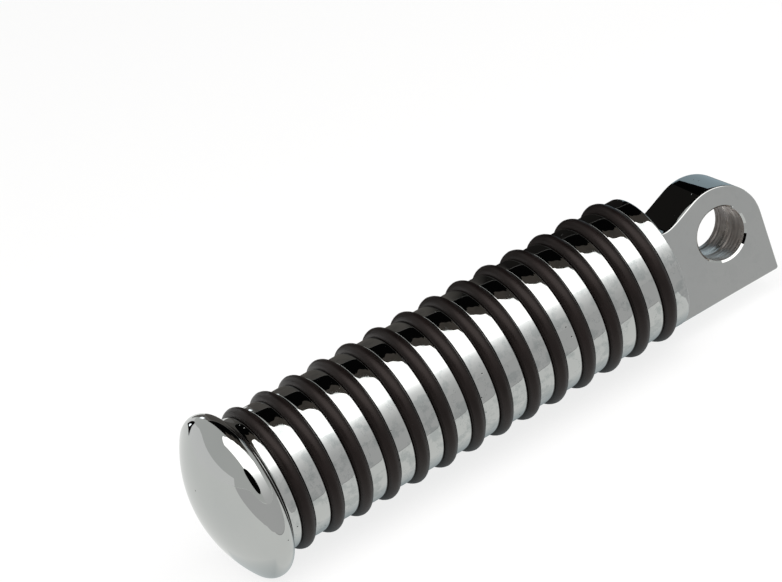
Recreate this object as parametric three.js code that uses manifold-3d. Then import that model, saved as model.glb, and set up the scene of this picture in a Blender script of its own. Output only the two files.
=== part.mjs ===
// A folding motorcycle foot peg: one chromed body turned from a round bar, and a row of
// rubber O-rings that sit in its grooves and give the boot its grip.
// Millimetres, +Z up. The origin is the centre of the pivot bore, +X runs outboard along
// the peg, and the pivot axis is the Y axis.

import * as THREE from "three";
import { mergeVertices } from "three/addons/utils/BufferGeometryUtils.js";
import Module from "manifold-3d";

// The turned body
const GRIP_RADIUS = 12.7;
const TIP_X = -8.9;
const SHOULDER_X = 13.4;
const RIM_X = 101.7;
const RIM_RADIUS = 15.8;
const RIM_ROUNDING = 2.5;
const NECK_FILLET = 1.3;
const DOME_HEIGHT = 6.9;

// The grooves and their rings
const RING_COUNT = 14;
const RING_SECTION = 2.62;
const RING_OUTER_RADIUS = 13.7;
const FIRST_RING_X = SHOULDER_X + 4.3;
const LAST_RING_X = RIM_X - 6.5;
const GROOVE_WIDTH = 2.86;
const GROOVE_ROOT_RADIUS = 10.95;

// The flat tongue that enters the bracket
const TONGUE_THICKNESS = 10.2;
const LOBE_RADIUS = -TIP_X;
const LOBE_END_DEGREES = 69;
const LOBE_HANDLE = 3.4;
const WAIST_X = 10.4;
const WAIST_Z = 5.8;
const WAIST_HANDLE = 1.8;
const BORE_RADIUS = 5;
const BORE_CHAMFER = 0.35;

// Facets
const TURNED_SEGMENTS = 32;
const RING_SECTION_SEGMENTS = 8;
const ARC_SEGMENTS = 6;

// How far the cutting shapes run past the body, and how close two points are to be one.
const CUTTER_REACH = 20;
const BORE_CUTTER_REACH = 1;
const MERGE_DISTANCE = 1e-4;

const wasm = await Module();
wasm.setup();

const chrome = new THREE.MeshStandardMaterial({
  color: 0xc9ccca,
  roughness: 0.06,
  metalness: 1,
});
const rubber = new THREE.MeshStandardMaterial({
  color: 0x1d1716,
  roughness: 0.62,
  metalness: 0,
});

function solidFrom(geometry) {
  const bare = new THREE.BufferGeometry();
  bare.setAttribute("position", geometry.getAttribute("position"));
  bare.setIndex(geometry.index);
  const merged = mergeVertices(bare, MERGE_DISTANCE);
  const mesh = new wasm.Mesh({
    numProp: 3,
    vertProperties: merged.attributes.position.array,
    triVerts: new Uint32Array(merged.index.array),
  });
  return new wasm.Manifold(mesh);
}

function geometryFrom(solid) {
  const mesh = solid.getMesh();
  const geometry = new THREE.BufferGeometry();
  geometry.setAttribute(
    "position",
    new THREE.BufferAttribute(new Float32Array(mesh.vertProperties), 3),
  );
  geometry.setIndex(new THREE.BufferAttribute(new Uint32Array(mesh.triVerts), 1));
  geometry.computeVertexNormals();
  return geometry;
}

// Points of an arc in the plane of a lathe profile or of an outline, ends included.
function arcPoints(centreX, centreY, radius, startDegrees, endDegrees, segments) {
  const points = [];
  for (let i = 0; i <= segments; i += 1) {
    const degrees = startDegrees + ((endDegrees - startDegrees) * i) / segments;
    const angle = THREE.MathUtils.degToRad(degrees);
    points.push(
      new THREE.Vector2(
        centreX + radius * Math.cos(angle),
        centreY + radius * Math.sin(angle),
      ),
    );
  }
  return points;
}

// A solid turned about the X axis, from points of (radius, distance along X).
function turnedGeometry(profile) {
  const geometry = new THREE.LatheGeometry(profile, TURNED_SEGMENTS);
  geometry.rotateZ(-Math.PI / 2);
  return geometry;
}

function ringX(index) {
  const pitch = (LAST_RING_X - FIRST_RING_X) / (RING_COUNT - 1);
  return FIRST_RING_X + index * pitch;
}

function grooveProfile(centreX) {
  const left = centreX - GROOVE_WIDTH / 2;
  const right = centreX + GROOVE_WIDTH / 2;
  return [
    new THREE.Vector2(GRIP_RADIUS, left),
    new THREE.Vector2(GROOVE_ROOT_RADIUS, left),
    new THREE.Vector2(GROOVE_ROOT_RADIUS, right),
    new THREE.Vector2(GRIP_RADIUS, right),
  ];
}

// Neck fillet, rounded rim and shallow dome, from the grip to the axis.
function capProfile() {
  // The fillet is tangent to the rim's rounding: their centres are both radii apart.
  const rimCentreRadius = RIM_RADIUS - RIM_ROUNDING;
  const neckCentreRadius = GRIP_RADIUS + NECK_FILLET;
  const apart = NECK_FILLET + RIM_ROUNDING;
  const join = Math.acos((neckCentreRadius - rimCentreRadius) / apart);
  const joinDegrees = THREE.MathUtils.radToDeg(join);
  const neck = arcPoints(
    neckCentreRadius,
    RIM_X - apart * Math.sin(join),
    NECK_FILLET,
    180,
    180 - joinDegrees,
    ARC_SEGMENTS,
  );

  // The dome is a sphere cap that leaves the rim's rounding without an edge.
  const slope = domeTangentAngle(rimCentreRadius);
  const rim = arcPoints(
    rimCentreRadius,
    RIM_X,
    RIM_ROUNDING,
    -joinDegrees,
    slope,
    ARC_SEGMENTS,
  );
  const rimEnd = rim[rim.length - 1];
  const domeRadius = rimEnd.x / Math.cos(THREE.MathUtils.degToRad(slope));
  const dome = arcPoints(
    0,
    RIM_X + DOME_HEIGHT - domeRadius,
    domeRadius,
    slope,
    90,
    ARC_SEGMENTS,
  );
  dome[dome.length - 1].x = 0;
  return [...neck, ...rim.slice(1), ...dome.slice(1)];
}

// The angle at which a circle about the axis, of the dome's height, is tangent to the rim.
function domeTangentAngle(rimCentreRadius) {
  const rise = DOME_HEIGHT - RIM_ROUNDING;
  const innerRadius = (rimCentreRadius ** 2 + rise ** 2) / (2 * rise);
  return THREE.MathUtils.radToDeg(Math.acos(rimCentreRadius / innerRadius));
}

function turnedBlank() {
  const profile = [new THREE.Vector2(0, TIP_X), new THREE.Vector2(GRIP_RADIUS, TIP_X)];
  for (let i = 0; i < RING_COUNT; i += 1) {
    profile.push(...grooveProfile(ringX(i)));
  }
  profile.push(...capProfile());
  return solidFrom(turnedGeometry(profile));
}

// One of the two milled flats of the tongue; side is +1 or -1.
function flankCutter(side) {
  const width = CUTTER_REACH - TONGUE_THICKNESS / 2;
  const length = SHOULDER_X + CUTTER_REACH;
  const geometry = new THREE.BoxGeometry(length, width, 2 * CUTTER_REACH);
  const middleY = side * (TONGUE_THICKNESS / 2 + width / 2);
  geometry.translate(SHOULDER_X - length / 2, middleY, 0);
  return solidFrom(geometry);
}

// Everything above the tongue's edge: the lobe about the bore, the dip behind it and the
// fillet that climbs to the shoulder.
function crestCutter() {
  const outline = new THREE.Shape();
  const fillet = SHOULDER_X - WAIST_X;
  const leave = THREE.MathUtils.degToRad(LOBE_END_DEGREES);
  const startX = LOBE_RADIUS * Math.cos(leave);
  const startZ = LOBE_RADIUS * Math.sin(leave);
  outline.moveTo(-CUTTER_REACH, 0);
  outline.lineTo(TIP_X, 0);
  outline.absarc(0, 0, LOBE_RADIUS, Math.PI, leave, true);
  outline.bezierCurveTo(
    startX + LOBE_HANDLE * Math.sin(leave),
    startZ - LOBE_HANDLE * Math.cos(leave),
    WAIST_X - WAIST_HANDLE,
    WAIST_Z,
    WAIST_X,
    WAIST_Z,
  );
  outline.absarc(WAIST_X, WAIST_Z + fillet, fillet, -Math.PI / 2, 0, false);
  outline.lineTo(SHOULDER_X, CUTTER_REACH);
  outline.lineTo(-CUTTER_REACH, CUTTER_REACH);
  const geometry = new THREE.ExtrudeGeometry(outline, {
    depth: 2 * CUTTER_REACH,
    bevelEnabled: false,
    curveSegments: 2 * ARC_SEGMENTS,
  });
  geometry.translate(0, 0, -CUTTER_REACH);
  geometry.rotateX(Math.PI / 2);
  return solidFrom(geometry);
}

function boreCutter() {
  const face = TONGUE_THICKNESS / 2;
  const end = face + BORE_CUTTER_REACH;
  const mouth = BORE_RADIUS + BORE_CHAMFER + BORE_CUTTER_REACH;
  const profile = [
    new THREE.Vector2(0, -end),
    new THREE.Vector2(mouth, -end),
    new THREE.Vector2(BORE_RADIUS, -face + BORE_CHAMFER),
    new THREE.Vector2(BORE_RADIUS, face - BORE_CHAMFER),
    new THREE.Vector2(mouth, end),
    new THREE.Vector2(0, end),
  ];
  return solidFrom(new THREE.LatheGeometry(profile, TURNED_SEGMENTS));
}

function pegBody() {
  const solid = turnedBlank()
    .subtract(flankCutter(1))
    .subtract(flankCutter(-1))
    .subtract(crestCutter())
    .subtract(boreCutter());
  const mesh = new THREE.Mesh(geometryFrom(solid), chrome);
  mesh.name = "peg_body";
  return mesh;
}

function gripRing(index) {
  const sectionRadius = RING_SECTION / 2;
  const section = arcPoints(
    RING_OUTER_RADIUS - sectionRadius,
    0,
    sectionRadius,
    0,
    360,
    RING_SECTION_SEGMENTS,
  );
  section[section.length - 1].copy(section[0]);
  const mesh = new THREE.Mesh(turnedGeometry(section), rubber);
  mesh.name = `grip_ring_${String(index + 1).padStart(2, "0")}`;
  mesh.position.x = ringX(index);
  return mesh;
}

const peg = new THREE.Group();
peg.add(pegBody());
for (let i = 0; i < RING_COUNT; i += 1) {
  peg.add(gripRing(i));
}

export default peg;
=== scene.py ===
"""A folding motorcycle foot peg: a chromed body and fourteen rubber O-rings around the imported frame.

Metres, +Z up. The origin is the centre of the pivot bore, +X runs outboard along the peg and
the pivot axis is the Y axis.
"""

import math

import bmesh
import bpy
from mathutils import Matrix, Vector


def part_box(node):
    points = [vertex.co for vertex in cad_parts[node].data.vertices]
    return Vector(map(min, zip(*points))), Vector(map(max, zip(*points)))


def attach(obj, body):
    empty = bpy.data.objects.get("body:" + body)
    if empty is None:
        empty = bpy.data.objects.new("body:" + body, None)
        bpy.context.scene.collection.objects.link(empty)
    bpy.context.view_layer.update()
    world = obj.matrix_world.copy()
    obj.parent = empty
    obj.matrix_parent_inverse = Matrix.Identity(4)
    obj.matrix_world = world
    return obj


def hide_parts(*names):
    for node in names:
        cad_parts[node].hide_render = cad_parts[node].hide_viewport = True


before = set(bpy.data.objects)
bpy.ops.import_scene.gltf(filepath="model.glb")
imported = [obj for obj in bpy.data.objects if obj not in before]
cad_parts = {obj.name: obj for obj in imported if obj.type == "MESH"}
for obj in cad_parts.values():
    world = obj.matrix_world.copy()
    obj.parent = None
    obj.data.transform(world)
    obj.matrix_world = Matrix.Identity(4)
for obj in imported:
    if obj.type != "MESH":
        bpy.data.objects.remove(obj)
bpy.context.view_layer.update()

MM = 0.001

# Places read from the frame
BODY_LOW, BODY_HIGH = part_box("peg_body")
RING_NODES = sorted(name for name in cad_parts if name.startswith("grip_ring_"))
TIP_X = BODY_LOW.x
DOME_TOP_X = BODY_HIGH.x
RIM_RADIUS = BODY_HIGH.z
FIRST_RING_LOW, FIRST_RING_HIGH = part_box(RING_NODES[0])
RING_OUTER_RADIUS = FIRST_RING_HIGH.z
RING_SECTION = FIRST_RING_HIGH.x - FIRST_RING_LOW.x

# The turned body
GRIP_RADIUS = 12.7 * MM
SHOULDER_X = 13.4 * MM
SHOULDER_ROUNDING = 0.35 * MM
DOME_HEIGHT = 6.9 * MM
RIM_X = DOME_TOP_X - DOME_HEIGHT
RIM_ROUNDING = 2.5 * MM
NECK_FILLET = 1.3 * MM
GROOVE_WIDTH = 2.86 * MM
GROOVE_ROOT_RADIUS = 10.95 * MM
LAND_CROWN = 0.06 * MM
LAND_ROUNDING = 0.12 * MM
LAND_STEPS = 6

# The tongue
TONGUE_HALF = 5.1 * MM
TONGUE_ROUNDING = 0.28 * MM
TIP_CORNER_RADIUS = 0.5 * MM
LOBE_RADIUS = -TIP_X
LOBE_END_DEGREES = 69
LOBE_HANDLE = 3.4 * MM
WAIST_X = 10.4 * MM
WAIST_Z = 5.8 * MM
WAIST_HANDLE = 1.8 * MM
SEAT_DEPTH = 0.012 * MM
BORE_RADIUS = 5 * MM
BORE_CHAMFER = 0.35 * MM

# The marks that the drill left in the bore: shallow steps, and two fine waves on them
DRILL_STEP = 0.05 * MM
DRILL_STEP_COUNT = 4.6
COARSE_RIPPLE = 0.012 * MM
FINE_RIPPLE = 0.008 * MM
RIPPLE_FADE = 12

# The rings: how far each sways in its groove, and the height of its mould line
SLOW_SWAY = 0.03 * MM
QUICK_SWAY = 0.02 * MM
MOULD_LINE = 0.018 * MM

# How finely round things are cut, and how close two points are to be one
TURNED_SEGMENTS = 256
BORE_SEGMENTS = 128
BORE_LEVELS = 60
RING_SEGMENTS = 160
RING_SECTION_SEGMENTS = 32
WELD_DISTANCE = 0.002 * MM


def arc(centre, radius, start_degrees, end_degrees, segments):
    """Points of an arc about centre, both ends included."""
    points = []
    for i in range(segments + 1):
        angle = math.radians(start_degrees + (end_degrees - start_degrees) * i / segments)
        points.append((centre[0] + radius * math.cos(angle), centre[1] + radius * math.sin(angle)))
    return points


def object_from(bm, name):
    """A new mesh object that holds bm, with its faces turned outwards."""
    bmesh.ops.recalc_face_normals(bm, faces=bm.faces)
    mesh = bpy.data.meshes.new(name)
    bm.to_mesh(mesh)
    bm.free()
    made = bpy.data.objects.new(name, mesh)
    bpy.context.scene.collection.objects.link(made)
    return made


def bridge_loops(bm, loops, closed=False):
    """Quads between each loop of vertices and the next one, round and round."""
    pairs = list(zip(loops, loops[1:]))
    if closed:
        pairs.append((loops[-1], loops[0]))
    for near, far in pairs:
        count = len(near)
        for i in range(count):
            j = (i + 1) % count
            bm.faces.new((near[i], near[j], far[j], far[i]))


def turned_loop(bm, x, radius, segments):
    """A circle of vertices about the X axis."""
    loop = []
    for i in range(segments):
        angle = 2 * math.pi * i / segments
        loop.append(bm.verts.new((x, radius * math.cos(angle), radius * math.sin(angle))))
    return loop


# ---------------------------------------------------------------- the turned body

def ring_centre_x(node):
    low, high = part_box(node)
    return (low.x + high.x) / 2


def land_profile(start_x, end_x, crown_start, crown_end):
    """(x, radius) points of one land, from groove wall to groove wall. Its polished surface is
    a little lower at the ends, and its edges are softly rounded."""
    middle = (start_x + end_x) / 2
    half = (end_x - start_x) / 2
    start_radius = GRIP_RADIUS - crown_start
    end_radius = GRIP_RADIUS - crown_end
    points = []
    if crown_start:
        corner = (start_x + LAND_ROUNDING, start_radius - LAND_ROUNDING)
        points += arc(corner, LAND_ROUNDING, 180, 90, 3)
    for i in range(1, LAND_STEPS):
        along = 2 * i / LAND_STEPS - 1
        crown = crown_start if along < 0 else crown_end
        points.append((middle + along * (half - LAND_ROUNDING), GRIP_RADIUS - crown * along ** 2))
    if crown_end:
        corner = (end_x - LAND_ROUNDING, end_radius - LAND_ROUNDING)
        points += arc(corner, LAND_ROUNDING, 90, 0, 3)
    return points


def cap_profile():
    """(x, radius) points of the neck fillet, the rounded rim and the dome, down to the axis."""
    rim_centre_radius = RIM_RADIUS - RIM_ROUNDING
    neck_centre_radius = GRIP_RADIUS + NECK_FILLET
    apart = NECK_FILLET + RIM_ROUNDING
    join = math.acos((neck_centre_radius - rim_centre_radius) / apart)
    join_degrees = math.degrees(join)
    neck_centre = (RIM_X - apart * math.sin(join), neck_centre_radius)
    neck = arc(neck_centre, NECK_FILLET, -90, join_degrees - 90, 12)

    rise = DOME_HEIGHT - RIM_ROUNDING
    dome_radius = (rim_centre_radius ** 2 + rise ** 2) / (2 * rise) + RIM_ROUNDING
    slope = math.degrees(math.asin(rim_centre_radius / (dome_radius - RIM_ROUNDING)))
    rim = arc((RIM_X, rim_centre_radius), RIM_ROUNDING, 90 + join_degrees, slope, 20)
    dome = arc((DOME_TOP_X - dome_radius, 0), dome_radius, slope, 0, 26)
    return neck + rim[1:] + dome[1:-1]


def turned_profile():
    """(x, radius) points of the grip and the cap, without the two ends on the axis."""
    rounding_centre = (SHOULDER_X + SHOULDER_ROUNDING, GRIP_RADIUS - SHOULDER_ROUNDING)
    points = arc(rounding_centre, SHOULDER_ROUNDING, 180, 90, 6)
    land_start = SHOULDER_X + SHOULDER_ROUNDING
    for index, node in enumerate(RING_NODES):
        centre = ring_centre_x(node)
        wall = centre - GROOVE_WIDTH / 2
        crown_start = LAND_CROWN if index else 0
        points += land_profile(land_start, wall, crown_start, LAND_CROWN)
        points.append((wall, GROOVE_ROOT_RADIUS))
        land_start = centre + GROOVE_WIDTH / 2
        points.append((land_start, GROOVE_ROOT_RADIUS))
    cap = cap_profile()
    points += land_profile(land_start, cap[0][0], LAND_CROWN, 0)
    return points + cap


def make_turned_part():
    bm = bmesh.new()
    loops = [turned_loop(bm, x, radius, TURNED_SEGMENTS) for x, radius in turned_profile()]
    bridge_loops(bm, loops)
    bm.faces.new(loops[0])
    apex = bm.verts.new((DOME_TOP_X, 0, 0))
    last = loops[-1]
    for i in range(TURNED_SEGMENTS):
        bm.faces.new((last[i], last[(i + 1) % TURNED_SEGMENTS], apex))
    return object_from(bm, "turned_part")


# ---------------------------------------------------------------- the tongue

def bezier(start, first, second, end, segments):
    """Points of a cubic curve after its start, up to and including its end."""
    points = []
    for i in range(1, segments + 1):
        t = i / segments
        weights = ((1 - t) ** 3, 3 * t * (1 - t) ** 2, 3 * t * t * (1 - t), t ** 3)
        points.append(tuple(
            sum(w * p[axis] for w, p in zip(weights, (start, first, second, end)))
            for axis in (0, 1)
        ))
    return points


def tongue_outline(y):
    """(x, z) points of the tongue's outline at a distance y from its middle plane. Its lower
    edge is the turned surface of the bar, so it curves up with y."""
    bottom = -math.sqrt(GRIP_RADIUS ** 2 - y ** 2)
    hidden = SHOULDER_X + SHOULDER_ROUNDING
    fillet = SHOULDER_X + SEAT_DEPTH - WAIST_X
    corner = (TIP_X + TIP_CORNER_RADIUS, bottom + TIP_CORNER_RADIUS)

    points = [(hidden - (hidden - corner[0]) * i / 12, bottom) for i in range(12)]
    points += arc(corner, TIP_CORNER_RADIUS, 270, 180, 8)
    points += [(TIP_X, corner[1] * (1 - i / 10)) for i in range(1, 10)]
    points += arc((0, 0), LOBE_RADIUS, 180, LOBE_END_DEGREES, 56)

    leave = math.radians(LOBE_END_DEGREES)
    start = points[-1]
    first = (start[0] + LOBE_HANDLE * math.sin(leave), start[1] - LOBE_HANDLE * math.cos(leave))
    second = (WAIST_X - WAIST_HANDLE, WAIST_Z)
    points += bezier(start, first, second, (WAIST_X, WAIST_Z), 24)
    points += arc((WAIST_X, WAIST_Z + fillet), fillet, -90, 0, 20)[1:]
    points.append((hidden, points[-1][1]))
    return points


def offset_inwards(points, distance):
    """The closed outline moved inwards by distance. It runs clockwise, so inwards is right."""
    moved = []
    count = len(points)
    for i in range(count):
        before, after = points[i - 1], points[(i + 1) % count]
        along = Vector((after[0] - before[0], after[1] - before[1])).normalized()
        moved.append((points[i][0] + distance * along.y, points[i][1] - distance * along.x))
    return moved


def tongue_levels():
    """(y, inset) of the slices: a rounded edge, the straight middle, and a rounded edge."""
    side = []
    for i in range(6):
        angle = math.radians(90 * i / 5)
        y = TONGUE_HALF - TONGUE_ROUNDING * (1 - math.cos(angle))
        side.append((y, TONGUE_ROUNDING * (1 - math.sin(angle))))
    inner = side[-1][0]
    middle = [(inner - 2 * inner * i / 16, 0) for i in range(1, 16)]
    return side + middle + [(-y, inset) for y, inset in reversed(side)]


def bore_levels():
    """(y, radius) of the bore: its chamfers, and the shallow steps that the drill left."""
    depth = TONGUE_HALF - BORE_CHAMFER
    points = [(TONGUE_HALF, BORE_RADIUS + BORE_CHAMFER)]
    for i in range(BORE_LEVELS + 1):
        share = i / BORE_LEVELS
        y = depth - 2 * depth * share
        step = DRILL_STEP * (math.floor(share * DRILL_STEP_COUNT) % 2)
        ripple = COARSE_RIPPLE * math.sin(share * 61) + FINE_RIPPLE * math.sin(share * 143 + 1)
        fade = min(1, RIPPLE_FADE * share, RIPPLE_FADE * (1 - share))
        points.append((y, BORE_RADIUS + step + ripple * fade))
    points.append((-TONGUE_HALF, BORE_RADIUS + BORE_CHAMFER))
    return points


def fill_between(bm, outer, inner, normal):
    """Fills the flat ring between an outline and the mouth of the bore."""
    edges = []
    for loop in (outer, inner):
        for i, vertex in enumerate(loop):
            edges.append(bm.edges.get((vertex, loop[(i + 1) % len(loop)])))
    bmesh.ops.triangle_fill(bm, use_beauty=True, edges=edges, normal=normal)


def make_tongue():
    bm = bmesh.new()
    slices = []
    for y, inset in tongue_levels():
        outline = offset_inwards(tongue_outline(y), inset)
        slices.append([bm.verts.new((x, y, z)) for x, z in outline])
    bridge_loops(bm, slices)
    bores = []
    for y, radius in bore_levels():
        circle = arc((0, 0), radius, 0, 360, BORE_SEGMENTS)[:-1]
        bores.append([bm.verts.new((x, y, z)) for x, z in circle])
    bridge_loops(bm, bores)
    fill_between(bm, slices[0], bores[0], (0, 1, 0))
    fill_between(bm, slices[-1], bores[-1], (0, -1, 0))
    return object_from(bm, "tongue")


# ---------------------------------------------------------------- joining and smoothing

def apply_modifiers(piece):
    """Puts the result of the piece's modifiers into its own mesh."""
    graph = bpy.context.evaluated_depsgraph_get()
    mesh = bpy.data.meshes.new_from_object(piece.evaluated_get(graph), depsgraph=graph)
    piece.modifiers.clear()
    old = piece.data
    piece.data = mesh
    bpy.data.meshes.remove(old)


def weld(piece):
    """Merges the points that lie together along a seam and drops the slivers between them."""
    bm = bmesh.new()
    bm.from_mesh(piece.data)
    bmesh.ops.remove_doubles(bm, verts=bm.verts, dist=WELD_DISTANCE)
    bmesh.ops.dissolve_degenerate(bm, dist=WELD_DISTANCE, edges=bm.edges)
    bm.to_mesh(piece.data)
    bm.free()


def join_solids(piece, other):
    """piece becomes the union of both, and other is gone."""
    union = piece.modifiers.new("union", "BOOLEAN")
    union.operation = "UNION"
    union.solver = "EXACT"
    union.object = other
    apply_modifiers(piece)
    weld(piece)
    bpy.data.objects.remove(other)


def smooth(piece, sharp_degrees):
    """Smooth shading that keeps flats flat and breaks at sharp corners."""
    piece.data.shade_smooth()
    piece.data.set_sharp_from_angle(angle=math.radians(sharp_degrees))
    weighted = piece.modifiers.new("weighted_normals", "WEIGHTED_NORMAL")
    weighted.keep_sharp = True
    weighted.weight = 80


def make_body():
    body = make_turned_part()
    join_solids(body, make_tongue())
    body.name = "chromed_body"
    smooth(body, 40)
    return body


# ---------------------------------------------------------------- the rings

def make_ring(index, node):
    """One O-ring, which sways a little in its groove and has a faint mould line around its
    outside."""
    centre_x = ring_centre_x(node)
    section_radius = RING_SECTION / 2
    middle_radius = RING_OUTER_RADIUS - section_radius
    bm = bmesh.new()
    loops = []
    for j in range(RING_SEGMENTS):
        turn = 2 * math.pi * j / RING_SEGMENTS
        sway = SLOW_SWAY * math.sin(turn + 2.1 * index) + QUICK_SWAY * math.sin(2 * turn + index)
        loop = []
        for k in range(RING_SECTION_SEGMENTS):
            angle = 2 * math.pi * k / RING_SECTION_SEGMENTS
            reach = section_radius
            if k == 0:
                reach += MOULD_LINE
            radius = middle_radius + reach * math.cos(angle)
            x = centre_x + sway + reach * math.sin(angle)
            loop.append(bm.verts.new((x, radius * math.cos(turn), radius * math.sin(turn))))
        loops.append(loop)
    bridge_loops(bm, loops, closed=True)
    return object_from(bm, f"rubber_ring_{index + 1:02d}")


# ---------------------------------------------------------------- materials

CHROME_TINTS = (0.508, 0.52, 0.512), (0.53, 0.54, 0.528)
CHROME_DIRT = (0.375, 0.40, 0.395)
CHROME_PIT = (0.012, 0.012, 0.012)
CHROME_RELIEF = 0.012 * MM
BORE_TINTS = (0.42, 0.385, 0.365), (0.88, 0.83, 0.79)
BORE_RELIEF = 0.05 * MM
RUBBER_TINTS = (0.0028, 0.0016, 0.0014), (0.006, 0.0036, 0.0033)
RUBBER_DUST = (0.03, 0.022, 0.02)
RUBBER_RELIEF = 0.02 * MM


class Nodes:
    """A material's node tree, with short ways to add and join nodes."""

    def __init__(self, name):
        self.material = bpy.data.materials.new(name)
        self.material.use_nodes = True
        self.tree = self.material.node_tree
        self.shader = self.tree.nodes["Principled BSDF"]
        self.place = self.add("ShaderNodeTexCoord").outputs["Object"]

    def add(self, kind, **settings):
        node = self.tree.nodes.new(kind)
        for key, value in settings.items():
            setattr(node, key, value)
        return node

    def join(self, source, target):
        self.tree.links.new(source, target)

    def stretched(self, scale):
        """The place on the piece, scaled along each axis."""
        mapping = self.add("ShaderNodeMapping")
        mapping.inputs["Scale"].default_value = scale
        self.join(self.place, mapping.inputs["Vector"])
        return mapping.outputs["Vector"]

    def noise(self, scale, detail=2.0, roughness=0.5, vector=None):
        node = self.add("ShaderNodeTexNoise")
        node.inputs["Scale"].default_value = scale
        node.inputs["Detail"].default_value = detail
        node.inputs["Roughness"].default_value = roughness
        self.join(vector or self.place, node.inputs["Vector"])
        return node.outputs["Fac"]

    def ramp(self, value, low, high, to_low, to_high):
        """value, where low to high becomes to_low to to_high, and no further."""
        node = self.add("ShaderNodeMapRange")
        node.inputs["From Min"].default_value = low
        node.inputs["From Max"].default_value = high
        node.inputs["To Min"].default_value = to_low
        node.inputs["To Max"].default_value = to_high
        self.join(value, node.inputs["Value"])
        return node.outputs["Result"]

    def sum(self, *values):
        total = values[0]
        for value in values[1:]:
            node = self.add("ShaderNodeMath", operation="ADD")
            self.join(total, node.inputs[0])
            self.join(value, node.inputs[1])
            total = node.outputs[0]
        return total

    def times(self, value, factor):
        node = self.add("ShaderNodeMath", operation="MULTIPLY")
        self.join(value, node.inputs[0])
        if isinstance(factor, (int, float)):
            node.inputs[1].default_value = factor
        else:
            self.join(factor, node.inputs[1])
        return node.outputs[0]

    def mix_colour(self, share, low, high):
        node = self.add("ShaderNodeMix", data_type="RGBA")
        node.inputs["A"].default_value = (*low, 1)
        node.inputs["B"].default_value = (*high, 1)
        self.join(share, node.inputs["Factor"])
        return node.outputs["Result"]

    def mix_over(self, share, colour, cover):
        """colour from another node, with the plain colour cover laid over it by share."""
        node = self.add("ShaderNodeMix", data_type="RGBA")
        self.join(share, node.inputs["Factor"])
        self.join(colour, node.inputs["A"])
        node.inputs["B"].default_value = (*cover, 1)
        return node.outputs["Result"]

    def bump(self, height, depth):
        """Relief of the given depth in metres, from a height of 0 to 1."""
        node = self.add("ShaderNodeBump")
        node.inputs["Distance"].default_value = depth
        self.join(height, node.inputs["Height"])
        self.join(node.outputs["Normal"], self.shader.inputs["Normal"])


def pits(nodes, spacing, radius, share):
    """1 inside small round spots. Only that share of the cells has one."""
    cells = nodes.add("ShaderNodeTexVoronoi", feature="F1")
    cells.inputs["Scale"].default_value = 1 / spacing
    nodes.join(nodes.place, cells.inputs["Vector"])
    near = nodes.ramp(cells.outputs["Distance"], radius / spacing * 0.6, radius / spacing, 1, 0)
    luck = nodes.add("ShaderNodeSeparateColor")
    nodes.join(cells.outputs["Color"], luck.inputs["Color"])
    chosen = nodes.add("ShaderNodeMath", operation="LESS_THAN")
    nodes.join(luck.outputs[0], chosen.inputs[0])
    chosen.inputs[1].default_value = share
    return nodes.times(near, chosen.outputs[0])


def chrome():
    """Mirror-bright plate. The grip has the smudges and hairlines of handling; the cap and the
    tongue are cleaner. Rare pits all over."""
    nodes = Nodes("chrome_plate")
    shader = nodes.shader
    shader.inputs["Metallic"].default_value = 1
    pit = pits(nodes, spacing=1.8 * MM, radius=0.15 * MM, share=0.22)
    split = nodes.add("ShaderNodeSeparateXYZ")
    nodes.join(nodes.place, split.inputs[0])
    along = split.outputs["X"]
    after_tongue = nodes.ramp(along, SHOULDER_X - 2 * MM, SHOULDER_X, 0.15, 1)
    before_cap = nodes.ramp(along, RIM_X - 4 * MM, RIM_X, 1, 0)
    handled = nodes.times(after_tongue, before_cap)

    smudge = nodes.ramp(nodes.noise(330, detail=6, roughness=0.62), 0.50, 0.60, 0, 1)
    hairline_waves = nodes.noise(150, detail=5, roughness=0.7, vector=nodes.stretched((1, 1, 0.5)))
    hairline = nodes.ramp(hairline_waves, 0.495, 0.5, 0, 1)
    hairline = nodes.times(hairline, nodes.ramp(hairline_waves, 0.5, 0.505, 1, 0))
    dirt = nodes.times(nodes.sum(nodes.times(smudge, 0.7), nodes.times(hairline, 0.9)), handled)
    cloud = nodes.ramp(nodes.noise(90, detail=3), 0.35, 0.65, 0, 1)
    tint = nodes.mix_colour(cloud, *CHROME_TINTS)
    soiled = nodes.mix_over(dirt, tint, CHROME_DIRT)
    nodes.join(nodes.mix_over(pit, soiled, CHROME_PIT), shader.inputs["Base Color"])

    streaks = nodes.noise(260, detail=4, vector=nodes.stretched((6, 1, 1)))
    haze = nodes.ramp(streaks, 0.45, 0.75, 0.012, 0.05)
    nodes.join(nodes.sum(haze, nodes.times(dirt, 0.07), nodes.times(pit, 0.5)),
               shader.inputs["Roughness"])

    waves = nodes.times(nodes.noise(300, detail=1), 0.5)
    ripples = nodes.times(nodes.times(nodes.noise(900, detail=2), handled), 0.16)
    relief = nodes.sum(waves, ripples, nodes.times(pit, -4))
    nodes.bump(relief, CHROME_RELIEF)
    return nodes.material


def bored_metal():
    """The inside of the bore: plated over the rings that the drill left, and a little stained."""
    nodes = Nodes("bored_plate")
    shader = nodes.shader
    shader.inputs["Metallic"].default_value = 1
    bands = nodes.noise(380, detail=1.5, vector=nodes.stretched((0.02, 1, 0.02)))
    blotch = nodes.noise(300, detail=4, roughness=0.6)
    mixed = nodes.sum(nodes.times(bands, 0.75), nodes.times(blotch, 0.25))
    share = nodes.ramp(mixed, 0.4, 0.58, 0, 1)
    nodes.join(nodes.mix_colour(share, *BORE_TINTS), shader.inputs["Base Color"])
    nodes.join(nodes.ramp(mixed, 0.38, 0.6, 0.42, 0.24), shader.inputs["Roughness"])
    nodes.bump(nodes.sum(bands, nodes.times(blotch, 0.4)), BORE_RELIEF)
    return nodes.material


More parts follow.
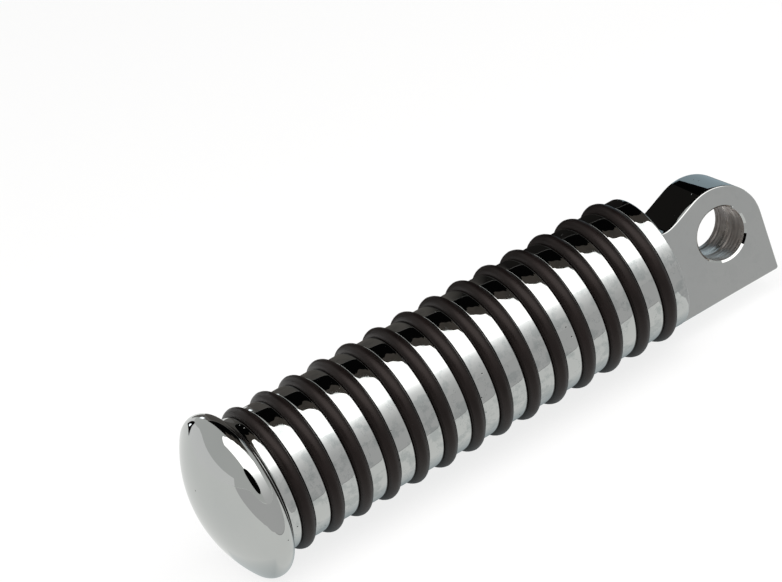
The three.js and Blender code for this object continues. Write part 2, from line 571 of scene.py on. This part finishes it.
def rubber():
    """Moulded black rubber with a brown cast, a low sheen and fine dust."""
    nodes = Nodes("ring_rubber")
    shader = nodes.shader
    bloom = nodes.noise(180, detail=4, roughness=0.6)
    share = nodes.ramp(bloom, 0.35, 0.7, 0, 1)
    tint = nodes.mix_colour(share, *RUBBER_TINTS)
    dust = pits(nodes, spacing=0.9 * MM, radius=0.06 * MM, share=0.1)
    nodes.join(nodes.mix_over(dust, tint, RUBBER_DUST), shader.inputs["Base Color"])
    nodes.join(nodes.ramp(bloom, 0.3, 0.7, 0.34, 0.46), shader.inputs["Roughness"])
    shader.inputs["Specular IOR Level"].default_value = 0.26
    shader.inputs["Specular Tint"].default_value = (1, 0.86, 0.82, 1)
    grain = nodes.noise(3200, detail=4, roughness=0.65)
    nodes.bump(nodes.sum(grain, nodes.times(dust, 0.6)), RUBBER_RELIEF)
    return nodes.material


def assign_bore_material(body, material):
    """Gives the wall of the bore its own material. The chamfers stay chrome."""
    body.data.materials.append(material)
    for face in body.data.polygons:
        centre = face.center
        from_axis = math.hypot(centre.x, centre.z)
        facing_in = face.normal.x * centre.x + face.normal.z * centre.z < 0
        straight = abs(face.normal.y) < 0.5
        if from_axis < BORE_RADIUS + 0.1 * MM and facing_in and straight:
            face.material_index = 1


# ---------------------------------------------------------------- the studio
#
# A pale floor in a soft grey room, and cards of plain light and dark cloth about the peg. The
# cards show in the chrome, the curved ones light the rubber too, and the camera sees none.

FLOOR_HEIGHT = -RIM_RADIUS - 0.05 * MM
FLOOR_SIZE = 3.0
FLOOR_GLOW = 0.79
FLOOR_COLOUR = (0.22, 0.22, 0.22)
ROOM_COLOUR = (0.6, 0.61, 0.6)

# The curved cards stand at these distances from the peg's axis, some behind others.
SOFT_BOX_RADIUS = 0.6
CEILING_RADIUS = 0.61
FLAG_RADIUS = 0.62
WALL_RADIUS = 1.0
CARD_COLUMNS = 48
CARD_ROWS = 24

# Edges of the two cards overhead, in degrees. The soft box's far edge slants along the peg,
# from SOFT_BOX_FAR_EDGE at SOFT_BOX_SLANT_X up to SOFT_BOX_HIGH_EDGE.
SOFT_BOX_LOW_EDGE = 40
SOFT_BOX_HIGH_EDGE = 104
SOFT_BOX_FAR_EDGE = 86
SOFT_BOX_SLANT = 45
SOFT_BOX_SLANT_X = -0.23
CEILING_LOW_EDGE = 82
CEILING_HIGH_EDGE = 107

# The wall in front is grey at the floor and rises to bright, faster from FAST_RISE_FROM on.
WALL_GREY = 0.62
SLOW_RISE = 2.0
FAST_RISE = 12
FAST_RISE_FROM = 0.44

# The low cards behind the peg, on its -Y side
BEHIND_Y = -60 * MM
LOW_CARDS_START_X = -110 * MM
LOW_CARDS_JOIN_X = -16 * MM
LOW_CARDS_END_X = 75 * MM
LOW_CARDS_TOP = 58 * MM
LOW_GREY_TOP = 37 * MM
SHADE_EDGE_Y = -22 * MM

# The sheets on the floor, one just above the other
PAPER_LIFT = 0.1 * MM
SHEET_LIFT = 0.3 * MM
EDGE_LIFT = 0.4 * MM
PAPER_EDGE_Y = 28.5 * MM
PAPER_EDGE_WIDTH = 0.7 * MM
PAPER_CORNER_X = 115 * MM
TABLE_CORNER = (136 * MM, 15 * MM)
BY_TONGUE_X = 8.5 * MM
BY_TONGUE_Y = 5.5 * MM

PLAIN = (1, 1, 1)
COLD = (0.72, 0.9, 1)


class Glow:
    """A card's node tree: a light of its own, even or graded."""

    def __init__(self, name, colour=PLAIN, strength=1.0):
        self.material = bpy.data.materials.new(name)
        self.material.use_nodes = True
        self.tree = self.material.node_tree
        self.tree.nodes.clear()
        self.light = self.tree.nodes.new("ShaderNodeEmission")
        self.light.inputs["Color"].default_value = (*colour, 1)
        self.light.inputs["Strength"].default_value = strength
        out = self.tree.nodes.new("ShaderNodeOutputMaterial")
        self.tree.links.new(self.light.outputs[0], out.inputs["Surface"])

    def math(self, operation, first, second):
        node = self.tree.nodes.new("ShaderNodeMath")
        node.operation = operation
        for socket, value in zip(node.inputs, (first, second)):
            if isinstance(value, (int, float)):
                socket.default_value = value
            else:
                self.tree.links.new(value, socket)
        return node.outputs[0]

    def place(self):
        return self.tree.nodes.new("ShaderNodeTexCoord").outputs["Object"]

    def ramp(self, value, low, high, to_low, to_high):
        node = self.tree.nodes.new("ShaderNodeMapRange")
        for key, number in (("From Min", low), ("From Max", high),
                            ("To Min", to_low), ("To Max", to_high)):
            node.inputs[key].default_value = number
        self.tree.links.new(value, node.inputs["Value"])
        return node.outputs["Result"]

    def axes(self):
        """The place on the card, by axis."""
        split = self.tree.nodes.new("ShaderNodeSeparateXYZ")
        self.tree.links.new(self.place(), split.inputs[0])
        return split.outputs

    def tint(self, share, low, high):
        mix = self.tree.nodes.new("ShaderNodeMix")
        mix.data_type = "RGBA"
        mix.inputs["A"].default_value = (*low, 1)
        mix.inputs["B"].default_value = (*high, 1)
        self.tree.links.new(share, mix.inputs["Factor"])
        self.tree.links.new(mix.outputs["Result"], self.light.inputs["Color"])

    def strength_from(self, value):
        self.tree.links.new(value, self.light.inputs["Strength"])
        return self.material


def brightening_upwards():
    """Grey at the floor, and brighter and brighter towards the soft box."""
    glow = Glow("rising_grey")
    height = glow.axes()["Z"]
    slow = glow.math("MULTIPLY", glow.math("MULTIPLY", height, height), SLOW_RISE)
    above = glow.math("MAXIMUM", glow.math("SUBTRACT", height, FAST_RISE_FROM), 0)
    fast = glow.math("MULTIPLY", glow.math("MULTIPLY", above, above), FAST_RISE)
    return glow.strength_from(glow.math("ADD", glow.math("ADD", slow, fast), WALL_GREY))


def fading_flag():
    """A dark cloth that is black behind the tongue and dark grey behind the grip."""
    glow = Glow("fading_flag", (1, 0.93, 0.86))
    return glow.strength_from(glow.ramp(glow.axes()["X"], 16 * MM, 34 * MM, 0.012, 0.1))


def paper():
    """The pale floor as the chrome shows it, with light and shade painted into its glow: a painted
    shadow, darker and colder where the peg shades it, and a painted patch of light, a little brighter
    past the tongue."""
    glow = Glow("paper")
    axes = glow.axes()
    beside = glow.ramp(glow.math("ABSOLUTE", axes["Y"], 0), 1 * MM, 10.5 * MM, 0, 1)
    beyond_cap = glow.ramp(axes["X"], 97 * MM, 110 * MM, 0, 1)
    beyond_tongue = glow.ramp(axes["X"], 10 * MM, 0, 0, 1)
    ends = glow.math("MAXIMUM", beyond_cap, beyond_tongue)
    lit = glow.math("MAXIMUM", beside, ends)
    glow.tint(lit, (0.84, 0.96, 1), (0.99, 1, 0.985))
    shaded = glow.ramp(lit, 0, 1, 0.32, 0.86)
    # painted light: the floor past the tongue glows brighter, standing in for the soft box's light
    # falling there
    painted_light_past_tongue = glow.math("MULTIPLY", beyond_tongue, 0.35)
    return glow.strength_from(glow.math("ADD", shaded, painted_light_past_tongue))


def place_card(name, bm, material, lights_rubber):
    """The card shows in the chrome and in the rubber's sheen, but not in the picture."""
    card = object_from(bm, name)
    card.data.materials.append(material)
    card.visible_camera = False
    card.visible_shadow = False
    card.visible_transmission = False
    card.visible_diffuse = lights_rubber


def make_arc_card(name, radius, low_x, high_x, edges, material):
    """A curved card about the peg's axis. edges(x) gives the angles of its long edges, where
    0 degrees is level on the +Y side and 90 is overhead."""
    bm = bmesh.new()
    grid = []
    for i in range(CARD_COLUMNS + 1):
        x = low_x + (high_x - low_x) * i / CARD_COLUMNS
        start, end = edges(x)
        points = arc((0, 0), radius, start, end, CARD_ROWS)
        grid.append([bm.verts.new((x, y, z)) for y, z in points])
    for near, far in zip(grid, grid[1:]):
        for j in range(CARD_ROWS):
            bm.faces.new((near[j], near[j + 1], far[j + 1], far[j]))
    place_card(name, bm, material, lights_rubber=True)


def rectangle(low_x, low_y, high_x, high_y):
    return [(low_x, low_y), (high_x, low_y), (high_x, high_y), (low_x, high_y)]


def make_flat_card(name, corners, material):
    bm = bmesh.new()
    bm.faces.new([bm.verts.new(corner) for corner in corners])
    place_card(name, bm, material, lights_rubber=False)


def make_upright_card(name, low_x, high_x, low_z, high_z, material):
    """A flat card that stands behind the peg, on its -Y side."""
    corners = [(x, BEHIND_Y, z) for x, z in rectangle(low_x, low_z, high_x, high_z)]
    make_flat_card(name, corners, material)


def make_floor_card(name, corners, lift, material):
    """A flat card just above the floor."""
    height = FLOOR_HEIGHT + lift
    make_flat_card(name, [(x, y, height) for x, y in corners], material)


def make_disc_card(name, azimuth, elevation, distance, width, height, material):
    """An oval card that faces the peg, at a direction from it in degrees."""
    azimuth, elevation = math.radians(azimuth), math.radians(elevation)
    outward = Vector((math.cos(azimuth) * math.cos(elevation),
                      math.sin(azimuth) * math.cos(elevation), math.sin(elevation)))
    across = outward.cross(Vector((0, 0, 1))).normalized()
    along = across.cross(outward)
    centre = Vector((RIM_X, 0, 0)) + outward * distance
    corners = []
    for a, b in arc((0, 0), 1, 0, 360, 40)[:-1]:
        corners.append(centre + across * (a * width / 2) + along * (b * height / 2))
    make_flat_card(name, corners, material)


def make_floor():
    bm = bmesh.new()
    corners = rectangle(-FLOOR_SIZE, -FLOOR_SIZE, FLOOR_SIZE, FLOOR_SIZE)
    bm.faces.new([bm.verts.new((x, y, FLOOR_HEIGHT)) for x, y in corners])
    floor = object_from(bm, "studio_floor")
    material = bpy.data.materials.new("pale_floor")
    material.use_nodes = True
    shader = material.node_tree.nodes["Principled BSDF"]
    shader.inputs["Base Color"].default_value = (*FLOOR_COLOUR, 1)
    shader.inputs["Roughness"].default_value = 0.9
    shader.inputs["Specular IOR Level"].default_value = 0
    shader.inputs["Emission Color"].default_value = (1, 1, 1, 1)
    shader.inputs["Emission Strength"].default_value = FLOOR_GLOW
    floor.data.materials.append(material)


def make_world():
    """A soft grey room, the same all round."""
    world = bpy.data.worlds.new("studio_room")
    bpy.context.scene.world = world
    world.use_nodes = True
    room = world.node_tree.nodes["Background"]
    room.inputs["Color"].default_value = (*ROOM_COLOUR, 1)


def soft_box_edges(x):
    """The far edge of the soft box slants and is not quite straight."""
    slant = SOFT_BOX_SLANT * (x - SOFT_BOX_SLANT_X)
    far = SOFT_BOX_FAR_EDGE + slant + 1.2 * math.sin(40 * x)
    return SOFT_BOX_LOW_EDGE, min(far, SOFT_BOX_HIGH_EDGE)


def dim_ceiling_edges(x):
    """The ceiling behind the soft box, with a far edge that waves a little."""
    far = CEILING_HIGH_EDGE + 3 * math.sin(31 * x) + 1.5 * math.sin(77 * x)
    return CEILING_LOW_EDGE, far


def make_cards_overhead():
    soft = Glow("soft_light", (1, 0.985, 0.975), 2.4).material
    dim = Glow("dim_ceiling", (1, 0.87, 0.76), 0.07).material
    rising = brightening_upwards()
    make_arc_card("soft_box", SOFT_BOX_RADIUS, -0.75, 0.6, soft_box_edges, soft)
    make_arc_card("dim_ceiling", CEILING_RADIUS, -0.9, 0.02, dim_ceiling_edges, dim)
    make_arc_card("front_wall", WALL_RADIUS, -1.3, 0.5, lambda x: (-3, 42), rising)


def make_cards_behind():
    """Dark cloth high up on the -Y side with a strip light before it, two oval flags that the
    dome shows, a small lamp before one of them, and a plain sweep beyond."""
    black = Glow("black_cloth", strength=0.002).material
    dark = Glow("dark_cloth", (1, 0.96, 0.92), 0.16).material
    strip = Glow("strip_light", (0.9, 0.96, 1), 2.4).material
    sweep = Glow("sweep", strength=0.86).material
    make_arc_card("black_flag", FLAG_RADIUS, -0.9, 0.02, lambda x: (103, 142), black)
    make_arc_card("dark_flag", FLAG_RADIUS, -0.9, 0.0, lambda x: (141, 183), dark)
    make_arc_card("strip_light", SOFT_BOX_RADIUS, -0.05, 0.03, lambda x: (153, 161), strip)
    make_disc_card("oval_flag", azimuth=50, elevation=27, distance=0.5,
                   width=0.42, height=0.29, material=black)
    make_disc_card("side_flag", azimuth=-79, elevation=4, distance=0.5,
                   width=0.13, height=0.19, material=black)
    make_disc_card("side_lamp", azimuth=-77, elevation=3, distance=0.49,
                   width=0.035, height=0.05, material=strip)
    sweep_y, sweep_low = -1.0, -0.016
    make_flat_card("sweep", [(0.0, sweep_y, sweep_low), (4.6, sweep_y, sweep_low),
                             (4.6, sweep_y, 0.4), (0.0, sweep_y, 0.22)], sweep)


def make_low_cards_behind():
    """Close behind the peg: grey past the tongue with black above it, then dark cloth, and a
    shaded strip of floor in front of them."""
    black = Glow("low_black_cloth", strength=0.002).material
    shade = Glow("shade", strength=0.14).material
    cold_grey = Glow("cold_grey", COLD, 0.43).material
    start_x, join_x, end_x = LOW_CARDS_START_X, LOW_CARDS_JOIN_X, LOW_CARDS_END_X
    make_upright_card("low_grey", start_x, join_x, FLOOR_HEIGHT, LOW_GREY_TOP, cold_grey)
    make_upright_card("low_flag", start_x, join_x, LOW_GREY_TOP, LOW_CARDS_TOP, black)
    make_upright_card("near_flag", join_x, end_x, FLOOR_HEIGHT, LOW_CARDS_TOP, fading_flag())
    strip = rectangle(start_x, BEHIND_Y, end_x, SHADE_EDGE_Y)
    make_floor_card("shade", strip, SHEET_LIFT, shade)


def make_cards_on_floor():
    """What the chrome shows of the floor: a pale sheet of paper under the peg that ends along
    its +Y side, and a greyer table past that edge."""
    grey = Glow("grey_table", strength=0.575).material
    dark = Glow("paper_edge", strength=0.4).material
    # The paper card's glow holds a painted shadow of the peg and a painted patch of light past the
    # tongue.
    make_floor_card("paper", rectangle(-2.5, -2.5, 2.5, 2.5), PAPER_LIFT, paper())
    far_x, table_y = -1.2, 0.98
    table = [(far_x, PAPER_EDGE_Y), (PAPER_CORNER_X, PAPER_EDGE_Y), TABLE_CORNER,
             (2.4, -0.5), (2.4, table_y), (far_x, table_y)]
    make_floor_card("grey_table", table, SHEET_LIFT, grey)
    by_tongue = rectangle(far_x, BY_TONGUE_Y, BY_TONGUE_X, PAPER_EDGE_Y)
    make_floor_card("grey_by_tongue", by_tongue, SHEET_LIFT, grey)
    edge = rectangle(BY_TONGUE_X, PAPER_EDGE_Y - PAPER_EDGE_WIDTH, PAPER_CORNER_X, PAPER_EDGE_Y)
    make_floor_card("paper_edge", edge, EDGE_LIFT, dark)


def make_studio():
    make_world()
    make_floor()
    make_cards_overhead()
    make_cards_behind()
    make_low_cards_behind()
    make_cards_on_floor()


# ---------------------------------------------------------------- the camera

VIEW_AZIMUTH = 157.56
VIEW_ELEVATION = 23.965
VIEW_ROLL = -19.712
VIEW_DISTANCE = 0.801
VIEW_LENS = 209.7
SENSOR_WIDTH = 36
AIM_X = 50 * MM
SIDE_SHIFT = 15.75 * MM
UP_SHIFT = 11.57 * MM


def make_camera():
    """A long lens that looks down on the domed end and the +Y side, tilted to set the peg
    across the picture."""
    azimuth, elevation, roll = map(math.radians, (VIEW_AZIMUTH, VIEW_ELEVATION, VIEW_ROLL))
    back = Vector((math.sin(azimuth) * math.cos(elevation),
                   -math.cos(azimuth) * math.cos(elevation),
                   math.sin(elevation)))
    level_right = (-back).cross(Vector((0, 0, 1))).normalized()
    level_up = back.cross(level_right)
    right = level_right * math.cos(roll) + level_up * math.sin(roll)
    up = level_up * math.cos(roll) - level_right * math.sin(roll)
    target = Vector((AIM_X, 0, 0)) - right * SIDE_SHIFT + up * UP_SHIFT

    lens = bpy.data.cameras.new("camera")
    lens.lens = VIEW_LENS
    lens.sensor_width = SENSOR_WIDTH
    lens.clip_start = 0.05
    lens.clip_end = 20
    camera = bpy.data.objects.new("camera", lens)
    bpy.context.scene.collection.objects.link(camera)
    rotation = Matrix((right, up, back)).transposed().to_4x4()
    camera.matrix_world = Matrix.Translation(target + back * VIEW_DISTANCE) @ rotation
    bpy.context.scene.camera = camera


# ---------------------------------------------------------------- the whole scene

def make_peg():
    body = make_body()
    body.data.materials.append(chrome())
    assign_bore_material(body, bored_metal())
    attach(body, "root")
    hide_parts("peg_body")
    ring_material = rubber()
    for index, node in enumerate(RING_NODES):
        ring = make_ring(index, node)
        smooth(ring, 60)
        ring.data.materials.append(ring_material)
        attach(ring, "root")
        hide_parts(node)


make_camera()
make_studio()
make_peg()
bpy.context.scene.view_settings.view_transform = "Standard"
